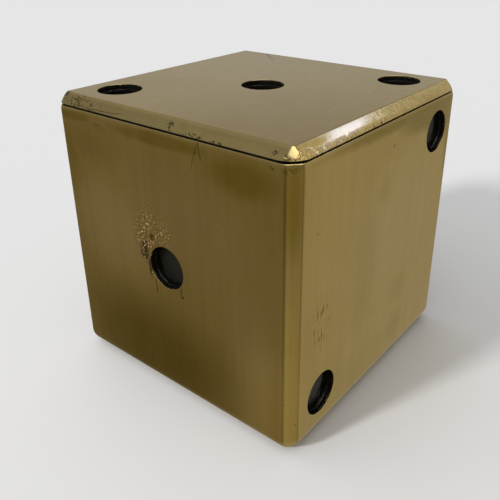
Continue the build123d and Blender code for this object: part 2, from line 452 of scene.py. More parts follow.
class Surface(Nodes):
    """A material while it is being made. Its patterns lie in the object's own place."""

    def __init__(self, name):
        self.material = bpy.data.materials.new(name)
        self.material.use_nodes = True
        super().__init__(self.material.node_tree)
        self.shader = self.tree.nodes["Principled BSDF"]
        self.place = self.node("ShaderNodeTexCoord", output="Object")
        axes = self.node("ShaderNodeSeparateXYZ", links={0: self.place}).socket.node
        self.x, self.y, self.z = (Value(self, axes.outputs[axis]) for axis in "XYZ")

    def set(self, **values):
        """Set or link the shader's own sockets; an underscore in a name stands for a space."""
        for name, value in values.items():
            self.connect(value, self.shader.inputs[name.replace("_", " ")])

    def stretched(self, x, y, z, start=(0, 0, 0)):
        """The place, scaled by a number along each axis and moved."""
        links = {"Vector": self.place, "Scale": (x, y, z), "Location": start}
        return self.node("ShaderNodeMapping", links=links)

    def noise(self, scale, detail=2.0, roughness=0.5, distortion=0.0, vector=None):
        links = {"Vector": vector or self.place, "Scale": scale, "Detail": detail,
                 "Roughness": roughness, "Distortion": distortion}
        return self.node("ShaderNodeTexNoise", links=links)

    def cells(self, scale, feature="F1"):
        links = {"Vector": self.place, "Scale": scale, "Randomness": 1.0}
        return self.node("ShaderNodeTexVoronoi", {"feature": feature}, links)

    def shade(self, colour, factor):
        """Multiply a colour by a number."""
        colour = colour if isinstance(colour, Value) else tuple(colour)[:3]
        return self.vector_math("SCALE", {"Vector": colour, "Scale": factor})

    def near(self, centre, reach, soft=0.35):
        """One inside an ellipsoid, nothing past its skin. Centre and reach are in millimetres."""
        offset = self.vector_math("SUBTRACT", {0: self.place, 1: tuple(c * MM for c in centre)})
        unit = tuple(1 / (r * MM) for r in reach)
        scaled = self.vector_math("MULTIPLY", {0: offset, 1: unit})
        length = self.vector_math("LENGTH", {0: scaled}, output="Value")
        return length.rise(1.0, 1.0 - soft)

    def spots(self, *rows):
        """The strongest of several spots: each a centre, a reach, its softness, its strength."""
        return self.either(*(self.near(centre, reach, soft) * strength
                             for centre, reach, soft, strength in rows))

    def either(self, *masks):
        total = masks[0]
        for mask in masks[1:]:
            total = total.at_least(mask)
        return total

    def bump(self, height, distance, normal=None):
        """A normal from a height that runs from 0 to 1 over the distance."""
        links = {"Height": height, "Distance": distance, "Strength": 1.0}
        if normal is not None:
            links["Normal"] = normal
        return self.node("ShaderNodeBump", links=links)


def finish_faces(piece, *materials):
    piece.data.materials.clear()
    for material in materials:
        piece.data.materials.append(material)


def reuse(maker):
    """The maker's material, made on its first use."""
    name = maker.__name__ + "_finish"
    return bpy.data.materials.get(name) or maker(name)


# ---------------------------------------------------------------- brass finish

CREASE = 83.5 * MM  # where each side face turns into the facets of the upright edges


class Brass(Surface):
    """Polished brass under an old clear lacquer, browned, cracked and blistered in places, with
    painted light and painted shade.
    """

    def __init__(self, name):
        super().__init__(name)
        # Polishing grain runs up the side walls, with wider streaks in the lacquer over it
        self.fine_grain = self.noise(1.0, 3.0, 0.6, vector=self.stretched(1500, 1500, 60))
        self.broad_grain = self.noise(1.0, 2.0, 0.5, vector=self.stretched(260, 260, 9))
        self.streaks = self.noise(
            1.0, 3.0, 0.55, vector=self.stretched(75, 75, 7, (0.3, 0.2, 0.1)))
        self.mottle = self.noise(95.0, 4.0, 0.6)
        self.freckles = self.cells(300.0).rise(0.13, 0.05) * self.mottle.rise(0.5, 0.62)
        self.bubbles = self.noise(1000.0, 3.0, 0.7)
        self.pimples = self.cells(650.0)
        self.speckle = self.pimples.rise(0.50, 0.15)
        self.flakes = self.noise(230.0, 4.0, 0.7)
        # Painted glints: dots that lose some metal so that a bright colour shows in the residue
        # and the pimpled patch.
        self.sparkle = self.speckle * self.flakes.rise(0.40, 0.55)
        self.find_bevels()
        self.find_browning()
        self.find_cracks()
        self.find_blisters()
        self.find_dark_marks()
        self.find_light_marks()

    def find_bevels(self):
        x, y, z = self.x, self.y, self.z
        self.on_bevel = z.rise(174.6 * MM, 175.2 * MM) * z.rise(181.2 * MM, 180.9 * MM)
        self.on_front_bevel = self.on_bevel * y.rise(-84 * MM, -86 * MM)
        self.on_right_bevel = x.rise(83.5 * MM, 85.5 * MM) * z.rise(174.5 * MM, 175.5 * MM)

    def find_browning(self):
        """Where the lacquer has browned, and where it is cloudy and pale; low on the front the
        browning is also painted shade.
        """
        front_band = self.spots(
            ((0, -90, 168.8), (46, 12, 5.2), 0.55, 0.8),
            ((-72, -90, 169.5), (20, 12, 4.0), 0.6, 0.8),
            ((-48, -90, 165.5), (12, 12, 3.0), 0.9, 0.5),
            ((58, -90, 161), (34, 12, 15), 0.85, 1.0),
            ((-88, -90, 140), (26, 12, 34), 0.6, 0.6),
            ((-60, -90, 154), (40, 12, 20), 0.9, 0.45),
            ((87, -87, 158), (8, 8, 46), 0.8, 0.8),
        )
        self.side_band = self.spots(
            ((90, 20, 172), (12, 110, 6.5), 0.6, 0.9),
            ((90, 50, 168), (12, 48, 14), 0.6, 1.0),
            ((90, 66, 160), (12, 22, 20), 0.6, 0.9),
            ((90, 84, 145), (12, 10, 40), 0.7, 0.7),
        )
        hidden_bands = self.spots(
            ((20, 90, 168), (80, 12, 9), 0.5, 1.0),
            ((-60, 90, 40), (40, 12, 60), 0.6, 0.5),
            ((-90, 10, 169), (12, 90, 7), 0.5, 1.0),
            ((-90, -50, 60), (12, 50, 40), 0.6, 0.6),
        )
        # Low on the front: browned lacquer and painted shade, darkest around the lower middle of
        # the front.
        self.low_front = self.near((-18, -90, 24), (96, 12, 62), 0.85) * 0.9
        self.smudges = self.spots(
            ((90, 27, 56), (12, 18, 18), 0.9, 0.25),
            ((90, 27, 26), (12, 16, 14), 0.9, 0.3),
            ((90, -20, 95), (12, 24, 60), 0.8, 0.3),
            ((90, -2, 134), (12, 14, 16), 0.9, 0.3),
        )
        cloud = self.noise(16.0, 3.0, 0.55)
        brown = self.either(
            front_band, self.side_band, hidden_bands, self.low_front, self.smudges)
        brown = brown + cloud.rise(0.38, 0.72, 0.0, 0.32)
        brown = brown + self.streaks.swing(0.55) + self.mottle.swing(0.25)
        self.brown = brown.at_least(0.0).at_most(1.0)
        self.pale = self.spots(
            ((8, -90, 122), (88, 12, 48), 0.8, 0.75),
            ((-42, -90, 106), (62, 12, 46), 0.9, 1.0),
            ((62, -90, 62), (30, 12, 60), 0.8, 0.6),
            ((90, 10, 108), (12, 78, 56), 0.7, 0.6),
            ((-20, 20, 181), (95, 95, 6), 0.8, 0.6),
        ) * (1.0 - self.brown * 0.6)

    def find_cracks(self):
        """Thin winding lines in patches of lacquer that has lifted, and three long ones."""
        x, z = self.x, self.z
        winding = self.noise(1.0, 1.5, 0.5, 0.8, vector=self.stretched(120, 200, 230))
        self.winding = abs(winding - 0.5)
        self.crack_lines = self.winding.rise(0.036, 0.014)
        self.lifted = self.spots(
            ((-82, -85, 177.6), (9, 8, 5.0), 0.5, 0.8),
            ((-65, -88, 178.2), (15, 8, 4.4), 0.4, 1.0),
            ((-52, -89, 177.0), (10, 5, 2.4), 0.4, 1.0),
            ((9, -88.6, 177.2), (3.4, 5, 2.8), 0.3, 1.0),
            ((25, -89.5, 175.9), (8, 3, 1.3), 0.3, 1.0),
            ((42, -90, 175.5), (5, 3, 0.9), 0.3, 1.0),
            ((79, -88, 176.8), (5, 5, 3.0), 0.3, 1.0),
            ((87, -88, 170.0), (5, 4, 3.0), 0.3, 0.4),
            ((-80, 86, 178), (11, 8, 5), 0.6, 0.8),
            ((-88, 30, 177), (6, 22, 4), 0.4, 1.0),
            ((40, 88, 177), (30, 5, 3), 0.4, 1.0),
        )
        self.cracks = self.crack_lines * self.lifted.rise(0.2, 0.6)

        wander = self.noise(120.0, 2.0).swing(2.0 * MM)
        along_seam = z - SEAM_Z - 1.0 * MM - (x + 51 * MM) * 0.045 - wander
        self.seam_cracks = along_seam.line(0.26 * MM, 0.10 * MM) * self.spots(
            ((-42, -90, 176.4), (20, 5, 2.4), 0.3, 1.0),
            ((26, -90, 176.3), (9, 5, 1.6), 0.3, 1.0),
        )
        wander = self.noise(330.0).swing(4 * MM)
        right_branch = x - 29.3 * MM - (RIM_Z - z) * 0.26 - wander
        left_branch = x - 24.6 * MM - (z - 158 * MM) * 0.3 - wander
        self.forked_crack = self.either(
            right_branch.line(0.50 * MM, 0.15 * MM) * self.near((31, -90, 170), (6, 4, 6.5), 0.2),
            left_branch.line(0.40 * MM, 0.12 * MM)
            * self.near((27, -90, 165), (8, 4, 10), 0.3) * 0.7,
        )

    def find_blisters(self):
        """Pimples in a fan above the single pip, a stain beside it, and blisters on the lid."""
        self.fan = self.spots(
            ((-5, -90, 113), (19, 8, 13), 0.9, 1.0),
            ((-12, -90, 118), (11, 8, 15), 0.9, 0.9),
            ((-10, -90, 105), (13, 8, 13), 0.8, 1.0),
            ((-18, -90, 107), (12, 8, 18), 0.9, 1.0),
        )
        patch = self.fan * 0.75 + self.flakes.swing(1.6) + self.bubbles.swing(3.2)
        self.patch = patch.rise(0.35, 0.75) * self.fan.rise(0.02, 0.25)
        stain = self.spots(
            ((-17.5, -90, 97), (6.0, 8, 14), 0.9, 1.0),
            ((-13.5, -90, 88), (3.2, 8, 12), 0.9, 1.0),
        )
        rivulets = self.noise(1.0, 3.0, 0.7, vector=self.stretched(620, 620, 260))
        residue = stain * 0.9 + rivulets.swing(3.4)
        self.residue = residue.rise(0.30, 0.70) * stain.rise(0.02, 0.3)
        pit = self.near((-10.5, -90, 108.5), (3.8, 4, 4.2), 0.9) + self.flakes.swing(1.2)
        self.pit = pit.rise(0.35, 0.65) * self.near((-10.5, -90, 108.5), (6, 4, 6), 0.2)

        far_end = self.y.rise(-22 * MM, 25 * MM, 0.0, 0.85) * self.flakes.rise(0.40, 0.58)
        low_edge = self.z.rise(178.2 * MM, 176.4 * MM) * self.flakes.rise(0.44, 0.54) * 0.8
        by_corner = self.near((89, -81, 177), (5, 9, 4), 0.6) * self.flakes.rise(0.42, 0.52)
        self.lid_blisters = self.either(
            self.on_right_bevel * far_end, self.on_right_bevel * low_edge, by_corner)
        self.blisters = self.either(self.patch, self.residue, self.lid_blisters)

    def find_dark_marks(self):
        """Chips, scratches, pits, runs of black and painted shade in the seam."""
        x, z = self.x, self.z
        marks = self.spots(
            ((76.8, -90, 170.5), (1.5, 3, 1.0), 0.8, 0.75),
            ((75.6, -90, 171.4), (0.9, 3, 0.8), 0.8, 0.6),
            ((83.4, -89.6, 170.6), (1.6, 3, 1.0), 0.8, 0.4),
            ((-49.5, -90, 167.7), (5.0, 3, 0.45), 0.35, 0.7),
            ((84.0, -89.3, 36.6), (0.5, 3, 0.45), 0.8, 0.8),
            ((89.0, -84.4, 33.1), (3, 0.5, 0.45), 0.8, 0.8),
            ((88.7, -84.6, 22.2), (3, 0.5, 0.6), 0.8, 0.9),
            ((83.4, -90.0, 14.0), (0.5, 3, 0.5), 0.8, 0.8),
            ((90, 4.4, 158.8), (3, 0.7, 0.8), 0.35, 1.0),
            ((90, -71, 134), (3, 1.4, 0.45), 0.7, 0.7),
            ((-70, -90, 66), (1.2, 3, 0.6), 0.35, 0.6),
            ((-20, -90, 20), (1.0, 3, 1.6), 0.35, 0.5),
            ((88, -20, 175.6), (3, 0.9, 0.9), 0.35, 1.0),
            ((88, -12, 175.8), (3, 1.0, 0.8), 0.35, 1.0),
        )
        dashes = self.noise(1.0, 2.0, 0.6, vector=self.stretched(900, 900, 110)).rise(0.57, 0.66)
        dashes = dashes * self.near((90, -65, 79), (4, 11, 24), 0.6) * 0.65
        wander = self.noise(500.0).swing(2.4 * MM)
        runs = self.either(
            (x + 9.8 * MM - wander).line(0.55 * MM, 0.2 * MM)
            * self.near((-9.8, -90, 76), (3, 3, 5.5), 0.3),
            (x - 11.0 * MM - wander).line(0.50 * MM, 0.2 * MM)
            * self.near((11.0, -90, 79), (3, 3, 4.0), 0.3),
            self.near((12.0, -90, 76.0), (1.0, 3, 1.0)),
        )
        # Painted shade in the seam between the body's rim and the lid.
        above_rim = z.rise(RIM_Z - 0.45 * MM, RIM_Z - 0.15 * MM)
        below_lid = z.rise(SEAM_Z + 0.35 * MM, SEAM_Z + 0.1 * MM)
        self.dark = self.either(
            self.cracks * 0.72, self.seam_cracks * 0.62, self.forked_crack * 0.75, marks * 0.85,
            runs * 0.8, dashes, above_rim * below_lid * 0.9,
            self.residue * self.bubbles.rise(0.50, 0.40) * 0.6)

    def find_light_marks(self):
        """A bright scratch, pale lines beside the lifted cracks, and painted highlights: a strip
        on the body's rounded rim, which also paints the whole lid a little paler, and glints on
        the lid's right bevel.
        """
        x, y, z = self.x, self.y, self.z
        scratch = (x + 88.2 * MM) - (z - 26.6 * MM) * 0.5
        self.light_marks = self.either(
            scratch.line(0.45 * MM, 0.15 * MM)
            * self.near((-88.2, -90, 26.6), (3, 3, 3), 0.2) * 0.8,
            (self.winding.rise(0.085, 0.060) - self.crack_lines)
            * self.lifted.rise(0.3, 0.7) * 0.12,
            # Painted highlight on the body's rounded rim; the whole lid above it is painted a
            # little paler too.
            (RIM_Z - z).rise(2.2 * MM, 1.4 * MM) * 0.25,
            # Painted glints on the far part of the lid's right bevel.
            self.speckle * self.on_right_bevel * y.rise(20 * MM, 60 * MM)
            * self.flakes.rise(0.48, 0.56) * 0.7,
        )

    def gloom(self):
        """How much darker the brass is made: painted shade along its creases, on the lid's front
        bevel, towards the front right of the top and low on the front, painted dark reflections
        near the top's back edge, and tarnish in the side band and smudges.
        """
        x, y, z = self.x, self.y, self.z
        across, back = abs(x), abs(y)
        # Painted shade: thin dark lines where each face turns into a facet.
        front_crease = (across - CREASE).line(0.75 * MM, 0.25 * MM)
        front_crease = front_crease * back.rise(88.5 * MM, 89.2 * MM)
        side_crease = (back - CREASE).line(0.75 * MM, 0.25 * MM)
        side_crease = side_crease * across.rise(88.5 * MM, 89.2 * MM)
        creases = self.either(front_crease * 0.30, side_crease * 0.42) * z.rise(SEAM_Z, RIM_Z)
        # Painted reflections: a dark slanting wedge on the top and a dark line along the lid's
        # back bevel.
        slant = ((y - 66 * MM) + (x + 43 * MM) * 0.9).line(2.8 * MM, 0.4 * MM)
        painted_back_reflections = self.either(
            slant * self.near((-54, 77, 181.5), (17, 18, 4), 0.5) * 0.75,
            self.near((20, 87, 181.5), (80, 5, 4), 0.7) * 0.45)
        # Painted shade: the top is made darker towards the front right.
        painted_shade_on_top = self.near((80, -70, 183), (130, 130, 6), 0.9) * 0.22
        # Painted shade on the lid's front bevel and low on the front; the side band and smudges
        # are tarnish.
        return (creases + painted_back_reflections + self.low_front * 0.36 + self.side_band * 0.20
                + self.smudges * 0.16 + self.on_front_bevel * 0.38 + painted_shade_on_top)

    def glow(self):
        """Painted light: how much brighter the brass is painted on the front-right facet, on two
        zones of the front face and in thin bands beside the facets.
        """
        facets = (abs(self.x) - 85.0 * MM).line(1.1 * MM, 0.3 * MM)
        facets = facets * (abs(self.y) - 88.2 * MM).line(1.2 * MM, 0.9 * MM)
        return (self.near((87, -87, 40), (8, 8, 100), 0.8) * 0.30
                + self.near((72, -90, 34), (24, 8, 62), 0.9) * 0.34
                + self.near((-45, -90, 108), (60, 12, 55), 0.9) * 0.16 + facets * 0.12)

    def colour(self, finish):
        colour = self.blend(self.brown, finish.gold, finish.olive)
        colour = self.blend(self.pale * 0.8, colour, finish.pale)
        # Painted light and painted shade, with the tarnish, scale the colour.
        colour = self.shade(colour, 1.0 + self.glow() - self.gloom())
        colour = self.blend(self.fan.rise(0.05, 0.6) * 0.4, colour, (0.80, 0.53, 0.21, 1))
        pimpled = self.blend(self.speckle * self.mottle.rise(0.35, 0.55),
                             (0.56, 0.38, 0.15, 1), finish.pink)
        colour = self.blend(self.patch * 0.85, colour, pimpled)
        # The residue's painted glints are bright gold.
        stained = self.blend(self.sparkle, (0.16, 0.12, 0.05, 1), (0.86, 0.66, 0.32, 1))
        colour = self.blend(self.residue * 0.85, colour, stained)
        colour = self.blend(self.lid_blisters * 0.6, colour, (0.86, 0.63, 0.22, 1))
        colour = self.blend(self.pit * 0.9, colour, (0.26, 0.14, 0.035, 1))
        # The scratch and the painted highlights take a pale brass colour.
        colour = self.blend(self.light_marks.at_least(0.0), colour, (0.95, 0.82, 0.50, 1))
        grain = (self.fine_grain.swing(0.16) + self.broad_grain.swing(0.16)
                 + self.mottle.swing(0.14) + self.freckles * 0.15)
        colour = self.shade(colour, 1.0 + grain)
        return self.blend(self.dark, colour, (0.018, 0.011, 0.006, 1))

    def relief(self):
        normal = self.bump(self.noise(9.0, 1.0), 1.1 * MM)
        normal = self.bump(self.noise(260.0, 2.0), 0.012 * MM, normal)
        normal = self.bump(self.fine_grain, 0.0025 * MM, normal)
        normal = self.bump(self.bubbles * self.blisters, 0.32 * MM, normal)
        normal = self.bump(self.pimples.rise(0.55, 0.1) * self.blisters, 0.20 * MM, normal)
        lifting = self.winding.rise(0.02, 0.10) * self.lifted.rise(0.2, 0.6)
        normal = self.bump(lifting, 0.06 * MM, normal)
        return self.bump(1.0 - self.either(self.dark, self.pit), 0.10 * MM, normal)


def lacquered_brass(name):
    s = Brass(name)
    mirror = s.on_right_bevel * (1.0 - s.lid_blisters)
    roughness = (0.23 - s.on_bevel * 0.05 - mirror * 0.11 + s.broad_grain.swing(0.10)
                 + s.blisters * 0.12 + s.freckles * 0.15 + s.dark * 0.3)
    hairlines = s.noise(1.0, 2.0, 0.6, vector=s.stretched(700, 60, 700))
    bare = s.either(s.dark, s.blisters, s.low_front * 0.7)
    s.set(Base_Color=s.colour(bpy.context.scene.die_finish),
          Metallic=1.0 - s.sparkle * s.either(s.patch * 0.6, s.residue * 0.6),
          Roughness=roughness, Normal=s.relief(),
          Coat_Weight=(1.0 - bare) * hairlines.rise(0.35, 0.6, 0.65, 1.0),
          Coat_Roughness=0.03, Coat_IOR=1.5)
    return s.material


# ---------------------------------------------------------------- other finishes

def drilled_edge(name):
    """The cut edge of the sheet, with black sealant that has crept up it."""
    s = Surface(name)
    creep = s.noise(520.0, 3.0, 0.6)
    black = creep.rise(0.30, 0.40)
    colour = s.blend(black, (0.72, 0.54, 0.22, 1), (0.005, 0.005, 0.004, 1))
    s.set(Base_Color=colour, Metallic=1.0 - black, Roughness=0.24 + creep * 0.15,
          Normal=s.bump(creep, 0.25 * MM))
    return s.material


def pip_wall(name):
    """Glossy black, brushed on thickly, with runs and nibs; the top pips keep little dust, as
    painted shade that keeps them darker.
    """
    finish = bpy.context.scene.die_finish
    s = Surface(name)
    runs = s.noise(330.0, 3.0, 0.55, 0.6)
    nibs = s.cells(700.0).rise(0.35, 0.1)
    dusty = s.noise(900.0, 2.0).rise(0.62, 0.75) * 0.4
    dust_colour = (0.05, 0.048, 0.04, 1)
    # Painted shade: the dust is mostly left off the top pips so that they stay darker.
    colour = s.blend(dusty * s.z.rise(165 * MM, 170 * MM, 1.0, 0.1), finish.pip_black, dust_colour)
    normal = s.bump(nibs, 0.12 * MM, s.bump(runs, 0.5 * MM))
    s.set(Base_Color=colour, Roughness=0.16 + dusty * 0.5, Normal=normal, Specular_IOR_Level=0.24)
    return s.material


def pip_floor(name):
    """The same black, worn matt, painted lighter in the right face's pips as painted light and
    darker in the top pips as painted shade, with a faint ring here and there.
    """
    finish = bpy.context.scene.die_finish
    s = Surface(name)
    dust = s.noise(140.0, 4.0, 0.6)
    grit = s.noise(1800.0, 2.0, 0.6)
    ring_line = (s.cells(52.0) - 0.22).line(0.03, 0.008) * 0.5
    # Painted light: the floors of the right face's pips are made lighter, unevenly.
    painted_light_right_floors = s.x.rise(78 * MM, 80 * MM) * dust.rise(0.2, 0.6, 0.55, 1.0)
    colour = s.blend(painted_light_right_floors, finish.pip_floor, (0.070, 0.070, 0.056, 1))
    # Painted shade: the floors of the top pips are made darker.
    top_pip_floor_shade = s.z.rise(165 * MM, 170 * MM, 1.0, 0.2)
    colour = s.shade(colour, (0.75 + dust * 0.5 + grit * 0.2) * top_pip_floor_shade)
    colour = s.blend(ring_line, colour, (0.012, 0.012, 0.010, 1))
    s.set(Base_Color=colour, Roughness=0.42 + dust * 0.2, Normal=s.bump(grit, 0.02 * MM))
    return s.material


def bare_brass(name):
    """Brass blocks with solder stain."""
    s = Surface(name)
    stain = s.noise(180.0, 4.0, 0.6)
    colour = s.blend(stain.rise(0.4, 0.65), (0.66, 0.50, 0.24, 1), (0.30, 0.21, 0.12, 1))
    s.set(Base_Color=colour, Metallic=1.0, Roughness=0.35 + stain * 0.25,
          Normal=s.bump(stain, 0.05 * MM))
    return s.material


def black_plastic(name):
    """Moulded black styrene with a fine spark texture."""
    s = Surface(name)
    spark = s.noise(2200.0, 2.0, 0.6)
    rubbed = s.noise(45.0, 4.0, 0.6)
    rubbed_off = rubbed.rise(0.45, 0.8) * 0.5
    colour = s.blend(rubbed_off, (0.012, 0.012, 0.012, 1), (0.04, 0.038, 0.035, 1))
    s.set(Base_Color=colour, Roughness=0.36 + rubbed * 0.18, Normal=s.bump(spark, 0.02 * MM))
    return s.material


def liner_plastic(name):
    """The tub's black plastic, glossier, with scuffs from ice and tongs."""
    s = Surface(name)
    scuffs = s.noise(1.0, 3.0, 0.6, 0.4, vector=s.stretched(420, 420, 30))
    haze = s.noise(30.0, 4.0, 0.6)
    scratches = (scuffs - 0.5).line(0.012, 0.002) * haze.rise(0.4, 0.6)
    colour = s.blend(scratches * 0.6, (0.014, 0.014, 0.014, 1), (0.09, 0.09, 0.085, 1))
    s.set(Base_Color=colour, Roughness=0.22 + haze * 0.15 + scratches * 0.25,
          Normal=s.bump(1.0 - scratches, 0.02 * MM))
    return s.material


def bead_foam(name):
    """White expanded foam: pressed beads with dark joints."""
    s = Surface(name)
    beads = s.cells(330.0)
    joints = s.cells(330.0, "DISTANCE_TO_EDGE").rise(0.06, 0.0)
    aged = s.noise(22.0, 3.0)
    colour = s.blend(aged.rise(0.35, 0.75), (0.80, 0.79, 0.74, 1), (0.70, 0.64, 0.50, 1))
    colour = s.blend(joints * 0.45, colour, (0.42, 0.39, 0.32, 1))
    s.set(Base_Color=colour, Roughness=0.72 + joints * 0.2, Normal=s.bump(1.0 - beads, 0.5 * MM))
    return s.material


def black_rubber(name):
    """Soft black rubber, dusty on its faces."""
    s = Surface(name)
    dust = s.noise(260.0, 4.0, 0.65)
    dusty = dust.rise(0.45, 0.75) * 0.5
    colour = s.blend(dusty, (0.015, 0.015, 0.015, 1), (0.07, 0.068, 0.062, 1))
    s.set(Base_Color=colour, Roughness=0.66 + dust * 0.2, Normal=s.bump(dust, 0.08 * MM))
    return s.material


def zinc_screw(name):
    """Zinc-plated steel with slight yellowing."""
    s = Surface(name)
    bloom = s.noise(500.0, 3.0, 0.6)
    colour = s.blend(bloom.rise(0.4, 0.7), (0.62, 0.62, 0.60, 1), (0.50, 0.45, 0.33, 1))
    s.set(Base_Color=colour, Metallic=1.0, Roughness=0.30 + bloom * 0.2,
          Normal=s.bump(bloom, 0.03 * MM))
    return s.material


# ---------------------------------------------------------------- brass pieces

def die_outside(name, sizes):
    """The body's outer surface in one piece, open at the rim."""
    turn_z = BASE_Z + sizes.edge_cut
    foot_half = HALF - sizes.base_bevel
    foot_side = foot_half - sizes.base_corner_cut
    piece = add_box(name, Vector((-HALF, -HALF, turn_z)), Vector((HALF, HALF, RIM_Z)))
    with Editing(piece) as edit:
        edit.pick(is_upright)
        bpy.ops.mesh.bevel(offset=sizes.edge_cut, segments=1, affect="EDGES")
        edit.switch("FACE")
        edit.pick(lambda face: face.normal.z < -0.9)
        step = {"value": (0, 0, -sizes.edge_cut)}
        bpy.ops.mesh.extrude_region_move(TRANSFORM_OT_translate=step)
        shrink = foot_half / HALF
        resize_at(BASE_Z, shrink, shrink)
        edit.switch("VERT")
        stretch = foot_side / ((HALF - sizes.edge_cut) * shrink)
        edit.pick(lambda vert: vert.co.z < BASE_Z + 0.1 * MM and abs(vert.co.x) > abs(vert.co.y))
        resize_at(BASE_Z, 1, stretch)
        edit.pick(lambda vert: vert.co.z < BASE_Z + 0.1 * MM
                  and abs(abs(vert.co.y) - foot_half) < 0.1 * MM)
        resize_at(BASE_Z, stretch, 1)
        edit.switch("EDGE")
        edit.pick(lambda edge: is_upright(edge) and turn_angle(edge) > 20)
        bpy.ops.transform.edge_bevelweight(value=sizes.upright_rounding / sizes.base_rounding)
        edit.pick(lambda edge: abs(edge_middle(edge).z - turn_z) < 0.1 * MM
                  and turn_angle(edge) > 5)
        bpy.ops.transform.edge_bevelweight(value=1.0)
        edit.pick(lambda edge: edge_middle(edge).z < turn_z - 0.1 * MM)
        bpy.ops.transform.edge_bevelweight(value=0.6)
        edit.switch("FACE")
        edit.pick(lambda face: face.normal.z > 0.9)
        bpy.ops.mesh.delete(type="FACE")
    apply_modifier(piece, "BEVEL", width=sizes.base_rounding, segments=5, limit_method="WEIGHT",
                   offset_type="OFFSET", use_clamp_overlap=True)
    draw_rim_in(piece, sizes)
    return piece


def draw_rim_in(piece, sizes):
    """Lean the last few millimetres of the wall inwards, more and more towards the rim."""
    steps = 5
    with Editing(piece) as edit:
        for step in range(steps):
            height = RIM_Z - sizes.rim_band * (1 - step / steps)
            bpy.ops.mesh.select_all(action="SELECT")
            bpy.ops.mesh.bisect(plane_co=(0, 0, height), plane_no=(0, 0, 1))
        edit.switch("VERT")
        for step in range(1, steps + 1):
            height = RIM_Z - sizes.rim_band * (1 - step / steps)
            draw = sizes.rim_draw * (step / steps) ** 2
            edit.pick(lambda vert: abs(vert.co.z - height) < 0.05 * MM)
            shrink = 1 - draw / HALF
            resize_at(height, shrink, shrink)


def keep_side(piece, height, keep_above):
    with Editing(piece, "FACE"):
        bpy.ops.mesh.select_all(action="SELECT")
        bpy.ops.mesh.bisect(plane_co=(0, 0, height), plane_no=(0, 0, 1),
                            clear_inner=keep_above, clear_outer=not keep_above)


def thicken(piece, thickness):
    apply_modifier(piece, "SOLIDIFY", thickness=thickness, offset=-1.0, use_even_offset=True)


def soften_rim(piece, height, outer, inner):
    """Round the outer and inner edges of a rim at this height."""
    def faces_out(edge):
        walls = [face for face in edge.link_faces if abs(face.normal.z) < 0.95]
        return any(face.normal.xy.dot(edge_middle(edge).xy) > 0 for face in walls)

    with Editing(piece) as edit:
        for amount, outside in ((outer, True), (inner, False)):
            edit.pick(lambda edge: all(abs(vert.co.z - height) < 0.12 * MM for vert in edge.verts)
                      and turn_angle(edge) > 40 and faces_out(edge) == outside)
            bpy.ops.mesh.bevel(offset=amount, segments=3, affect="EDGES")


def corner_loop(name, half, radius, height, steps):
    """A flat square face with rounded corners."""
    deselect_all()
    bpy.ops.mesh.primitive_plane_add(size=2 * half, location=(0, 0, height))
    piece = take_new(name)
    with Editing(piece, "VERT"):
        bpy.ops.mesh.select_all(action="SELECT")
        bpy.ops.mesh.bevel(offset=radius, segments=steps, affect="VERTICES")
    return piece


def lid_outside(name, sizes):
    """The lid's top and bevels, open underneath; the corners are cones."""
    corner_steps = 14
    cuts = 5
    crown_half = HALF - sizes.lid_inset
    rim = corner_loop("lid_rim", HALF, sizes.lid_rim_radius, SEAM_Z, corner_steps)
    with Editing(rim, "FACE"):
        bpy.ops.mesh.select_all(action="SELECT")
        bpy.ops.mesh.delete(type="ONLY_FACE")
    piece = corner_loop(name, crown_half, sizes.lid_crown_radius, TOP_Z, corner_steps)
    make_active(piece)
    rim.select_set(True)
    bpy.ops.object.join()
    with Editing(piece) as edit:
        edit.pick(lambda edge: len(edge.link_faces) < 2)
        bpy.ops.mesh.bridge_edge_loops(number_cuts=cuts)
        edit.switch("VERT")
        for cut in range(1, cuts + 1):
            part = cut / (cuts + 1)
            height = SEAM_Z + (TOP_Z - SEAM_Z) * part
            edit.pick(lambda vert: abs(vert.co.z - height) < 0.1 * MM)
            grow = 1 + sizes.lid_swell * math.sin(math.pi * part) / HALF
            resize_at(height, grow, grow)
        edit.switch("EDGE")
        edit.pick(lambda edge: all(vert.co.z > TOP_Z - 0.01 * MM for vert in edge.verts))
        bpy.ops.mesh.bevel(offset=0.45 * MM, segments=3, affect="EDGES")
        bpy.ops.mesh.select_all(action="SELECT")
        bpy.ops.mesh.normals_make_consistent(inside=False)
    return piece


def flatten_rim(piece, height):
    """Bring the thickened rim's inner edge down to the rim's own height."""
    with Editing(piece, "VERT") as edit:
        edit.pick(lambda vert: vert.co.z < height + 0.75 * MM and vert.co.z > height - 0.75 * MM)
        resize_at(height, 1, 1, 0)


def pierce_and_finish(piece, faces, sizes):
    """Cut the pip holes of these faces, then give the piece its brass."""
    holes = cut_pips(piece, faces, sizes)
    finish_faces(piece, reuse(lacquered_brass), reuse(drilled_edge))
    paint_hole_walls(piece, holes, sizes)
    smooth(piece)


# ---------------------------------------------------------------- sky

